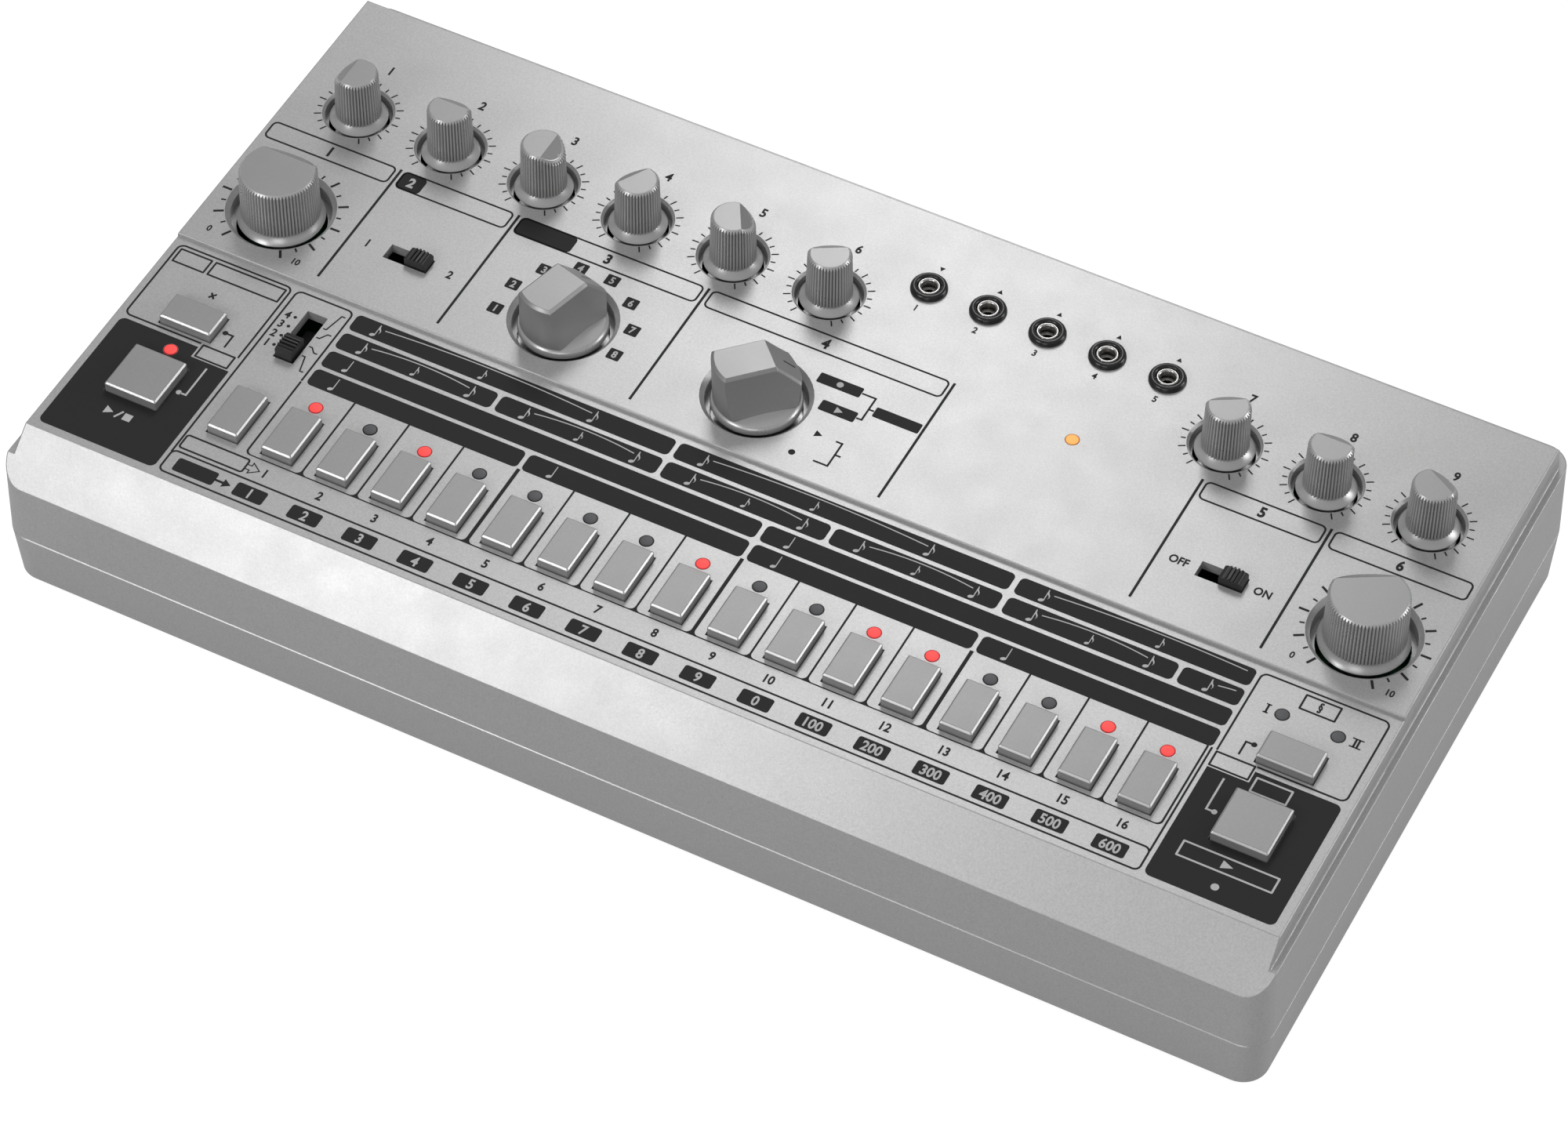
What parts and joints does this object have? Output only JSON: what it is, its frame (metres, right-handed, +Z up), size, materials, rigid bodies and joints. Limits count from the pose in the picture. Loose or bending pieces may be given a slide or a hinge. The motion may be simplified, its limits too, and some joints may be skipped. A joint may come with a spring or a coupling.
{
  "type": "drum machine",
  "caption": "Table-top drum machine with a raised two-level silver panel: knurled pointer knobs, bar selectors, step keys with lamps, slide switches and jack sockets.",
  "frame": {"origin": "on the table under the middle of the case", "axes": "+X to the player's right, +Y to the back where the sockets are, +Z up out of the panel"},
  "size_m": [0.305, 0.165, 0.0567],
  "materials": {
    "case_silver": "satin silver paint with a fine metallic fleck on moulded plastic",
    "knob_silver": "satin silver paint on moulded knobs and keys",
    "black_plastic": "black moulded plastic",
    "chrome_plate": "bright nickel plate",
    "zinc_steel": "zinc plated steel",
    "circuit_board": "green solder mask",
    "switch_plastic": "dark moulded plastic",
    "red_lamp_on": "clear red lens, lit",
    "red_lamp_off": "smoked lens, not lit",
    "amber_lamp": "amber lens, lit",
    "foot_rubber": "matt black rubber"
  },
  "bodies": {
    "case": {"upper_case": "case_silver", "lower_case": "case_silver", "rubber_feet": "foot_rubber", "case_screws": "zinc_steel", "board_screws": "zinc_steel", "control_board": "circuit_board", "main_board": "circuit_board", "board_link": "black_plastic", "potentiometers": "zinc_steel", "rotary_switches": "zinc_steel", "tact_switches": "switch_plastic", "slide_switch_bodies": "black_plastic", "leds_red_lit": "red_lamp_on", "leds_red_unlit": "red_lamp_off", "led_amber": "amber_lamp", "jack_collars": "black_plastic", "jack_sleeves": "chrome_plate", "jack_bodies": "black_plastic", "dc_inlet": "black_plastic", "usb_socket": "chrome_plate", "midi_sockets": "black_plastic", "power_switch_body": "black_plastic"},
    "accent_knob": {"accent_knob": "knob_silver"},
    "bass_drum_knob": {"bass_drum_knob": "knob_silver"},
    "snare_drum_knob": {"snare_drum_knob": "knob_silver"},
    "tom_knob": {"tom_knob": "knob_silver"},
    "cymbal_knob": {"cymbal_knob": "knob_silver"},
    "hi_hat_knob": {"hi_hat_knob": "knob_silver"},
    "distortion_knob": {"distortion_knob": "knob_silver"},
    "tone_knob": {"tone_knob": "knob_silver"},
    "level_knob": {"level_knob": "knob_silver"},
    "tempo_knob": {"tempo_knob": "knob_silver"},
    "volume_knob": {"volume_knob": "knob_silver"},
    "instrument_selector_knob": {"instrument_selector_knob": "knob_silver"},
    "mode_selector_knob": {"mode_selector_knob": "knob_silver"},
    "step_button_01": {"step_button_01": "knob_silver"},
    "step_button_02": {"step_button_02": "knob_silver"},
    "step_button_03": {"step_button_03": "knob_silver"},
    "step_button_04": {"step_button_04": "knob_silver"},
    "step_button_05": {"step_button_05": "knob_silver"},
    "step_button_06": {"step_button_06": "knob_silver"},
    "step_button_07": {"step_button_07": "knob_silver"},
    "step_button_08": {"step_button_08": "knob_silver"},
    "step_button_09": {"step_button_09": "knob_silver"},
    "step_button_10": {"step_button_10": "knob_silver"},
    "step_button_11": {"step_button_11": "knob_silver"},
    "step_button_12": {"step_button_12": "knob_silver"},
    "step_button_13": {"step_button_13": "knob_silver"},
    "step_button_14": {"step_button_14": "knob_silver"},
    "step_button_15": {"step_button_15": "knob_silver"},
    "step_button_16": {"step_button_16": "knob_silver"},
    "function_button": {"function_button": "knob_silver"},
    "start_stop_button": {"start_stop_button": "knob_silver"},
    "tap_button": {"tap_button": "knob_silver"},
    "clear_button": {"clear_button": "knob_silver"},
    "pattern_group_button": {"pattern_group_button": "knob_silver"},
    "voice_select_lever": {"voice_select_lever": "black_plastic"},
    "distortion_lever": {"distortion_lever": "black_plastic"},
    "scale_lever": {"scale_lever": "black_plastic"},
    "power_switch_lever": {"power_switch_lever": "black_plastic"}
  },
  "joints": [
    {"name": "accent_turn", "type": "hinge", "parent": "case", "child": "accent_knob", "pos_m": [-0.1331, 0.0434, 0.044], "axis": [0, 0, 1], "range_deg": [-240, 60]},
    {"name": "bass_drum_turn", "type": "hinge", "parent": "case", "child": "bass_drum_knob", "pos_m": [-0.1089, 0.0434, 0.044], "axis": [0, 0, 1], "range_deg": [-150, 150]},
    {"name": "snare_drum_turn", "type": "hinge", "parent": "case", "child": "snare_drum_knob", "pos_m": [-0.0847, 0.0434, 0.044], "axis": [0, 0, 1], "range_deg": [-60, 240]},
    {"name": "tom_turn", "type": "hinge", "parent": "case", "child": "tom_knob", "pos_m": [-0.0605, 0.0434, 0.044], "axis": [0, 0, 1], "range_deg": [-210, 90]},
    {"name": "cymbal_turn", "type": "hinge", "parent": "case", "child": "cymbal_knob", "pos_m": [-0.0363, 0.0434, 0.044], "axis": [0, 0, 1], "range_deg": [-90, 210]},
    {"name": "hi_hat_turn", "type": "hinge", "parent": "case", "child": "hi_hat_knob", "pos_m": [-0.0121, 0.0434, 0.044], "axis": [0, 0, 1], "range_deg": [-180, 120]},
    {"name": "distortion_turn", "type": "hinge", "parent": "case", "child": "distortion_knob", "pos_m": [0.0847, 0.0434, 0.044], "axis": [0, 0, 1], "range_deg": [-180, 120]},
    {"name": "tone_turn", "type": "hinge", "parent": "case", "child": "tone_knob", "pos_m": [0.1089, 0.0434, 0.044], "axis": [0, 0, 1], "range_deg": [-150, 150]},
    {"name": "level_turn", "type": "hinge", "parent": "case", "child": "level_knob", "pos_m": [0.1331, 0.0434, 0.044], "axis": [0, 0, 1], "range_deg": [-120, 180]},
    {"name": "tempo_turn", "type": "hinge", "parent": "case", "child": "tempo_knob", "pos_m": [-0.1331, 0.0086, 0.044], "axis": [0, 0, 1], "range_deg": [-150, 150]},
    {"name": "volume_turn", "type": "hinge", "parent": "case", "child": "volume_knob", "pos_m": [0.1331, 0.0086, 0.044], "axis": [0, 0, 1], "range_deg": [-180, 120]},
    {"name": "instrument_selector_turn", "type": "hinge", "parent": "case", "child": "instrument_selector_knob", "pos_m": [-0.0605, 0.0086, 0.044], "axis": [0, 0, 1], "range_deg": [-90, 120]},
    {"name": "mode_selector_turn", "type": "hinge", "parent": "case", "child": "mode_selector_knob", "pos_m": [-0.0121, 0.0086, 0.044], "axis": [0, 0, 1], "range_deg": [-90, 0]},
    {"name": "step_press_01", "type": "slide", "parent": "case", "child": "step_button_01", "axis": [0, 0, -1], "range_m": [0, 0.0005], "stiffness_N_per_m": 600, "springref_m": -0.0003},
    {"name": "step_press_02", "type": "slide", "parent": "case", "child": "step_button_02", "axis": [0, 0, -1], "range_m": [0, 0.0005], "stiffness_N_per_m": 600, "springref_m": -0.0003},
    {"name": "step_press_03", "type": "slide", "parent": "case", "child": "step_button_03", "axis": [0, 0, -1], "range_m": [0, 0.0005], "stiffness_N_per_m": 600, "springref_m": -0.0003},
    {"name": "step_press_04", "type": "slide", "parent": "case", "child": "step_button_04", "axis": [0, 0, -1], "range_m": [0, 0.0005], "stiffness_N_per_m": 600, "springref_m": -0.0003},
    {"name": "step_press_05", "type": "slide", "parent": "case", "child": "step_button_05", "axis": [0, 0, -1], "range_m": [0, 0.0005], "stiffness_N_per_m": 600, "springref_m": -0.0003},
    {"name": "step_press_06", "type": "slide", "parent": "case", "child": "step_button_06", "axis": [0, 0, -1], "range_m": [0, 0.0005], "stiffness_N_per_m": 600, "springref_m": -0.0003},
    {"name": "step_press_07", "type": "slide", "parent": "case", "child": "step_button_07", "axis": [0, 0, -1], "range_m": [0, 0.0005], "stiffness_N_per_m": 600, "springref_m": -0.0003},
    {"name": "step_press_08", "type": "slide", "parent": "case", "child": "step_button_08", "axis": [0, 0, -1], "range_m": [0, 0.0005], "stiffness_N_per_m": 600, "springref_m": -0.0003},
    {"name": "step_press_09", "type": "slide", "parent": "case", "child": "step_button_09", "axis": [0, 0, -1], "range_m": [0, 0.0005], "stiffness_N_per_m": 600, "springref_m": -0.0003},
    {"name": "step_press_10", "type": "slide", "parent": "case", "child": "step_button_10", "axis": [0, 0, -1], "range_m": [0, 0.0005], "stiffness_N_per_m": 600, "springref_m": -0.0003},
    {"name": "step_press_11", "type": "slide", "parent": "case", "child": "step_button_11", "axis": [0, 0, -1], "range_m": [0, 0.0005], "stiffness_N_per_m": 600, "springref_m": -0.0003},
    {"name": "step_press_12", "type": "slide", "parent": "case", "child": "step_button_12", "axis": [0, 0, -1], "range_m": [0, 0.0005], "stiffness_N_per_m": 600, "springref_m": -0.0003},
    {"name": "step_press_13", "type": "slide", "parent": "case", "child": "step_button_13", "axis": [0, 0, -1], "range_m": [0, 0.0005], "stiffness_N_per_m": 600, "springref_m": -0.0003},
    {"name": "step_press_14", "type": "slide", "parent": "case", "child": "step_button_14", "axis": [0, 0, -1], "range_m": [0, 0.0005], "stiffness_N_per_m": 600, "springref_m": -0.0003},
    {"name": "step_press_15", "type": "slide", "parent": "case", "child": "step_button_15", "axis": [0, 0, -1], "range_m": [0, 0.0005], "stiffness_N_per_m": 600, "springref_m": -0.0003},
    {"name": "step_press_16", "type": "slide", "parent": "case", "child": "step_button_16", "axis": [0, 0, -1], "range_m": [0, 0.0005], "stiffness_N_per_m": 600, "springref_m": -0.0003},
    {"name": "function_press", "type": "slide", "parent": "case", "child": "function_button", "axis": [0, 0, -1], "range_m": [0, 0.0005], "stiffness_N_per_m": 600, "springref_m": -0.0003},
    {"name": "start_stop_press", "type": "slide", "parent": "case", "child": "start_stop_button", "axis": [0, 0, -1], "range_m": [0, 0.0005], "stiffness_N_per_m": 600, "springref_m": -0.0003},
    {"name": "tap_press", "type": "slide", "parent": "case", "child": "tap_button", "axis": [0, 0, -1], "range_m": [0, 0.0005], "stiffness_N_per_m": 600, "springref_m": -0.0003},
    {"name": "clear_press", "type": "slide", "parent": "case", "child": "clear_button", "axis": [0, 0, -1], "range_m": [0, 0.0005], "stiffness_N_per_m": 600, "springref_m": -0.0003},
    {"name": "pattern_group_press", "type": "slide", "parent": "case", "child": "pattern_group_button", "axis": [0, 0, -1], "range_m": [0, 0.0005], "stiffness_N_per_m": 600, "springref_m": -0.0003},
    {"name": "voice_select_slide", "type": "slide", "parent": "case", "child": "voice_select_lever", "axis": [-1, 0, 0], "range_m": [0, 0.0052]},
    {"name": "distortion_slide", "type": "slide", "parent": "case", "child": "distortion_lever", "axis": [-1, 0, 0], "range_m": [0, 0.0052]},
    {"name": "scale_slide", "type": "slide", "parent": "case", "child": "scale_lever", "axis": [0, 1, 0], "range_m": [0, 0.00915]},
    {"name": "power_switch_slide", "type": "slide", "parent": "case", "child": "power_switch_lever", "axis": [-1, 0, 0], "range_m": [0, 0.0044]}
  ]
}
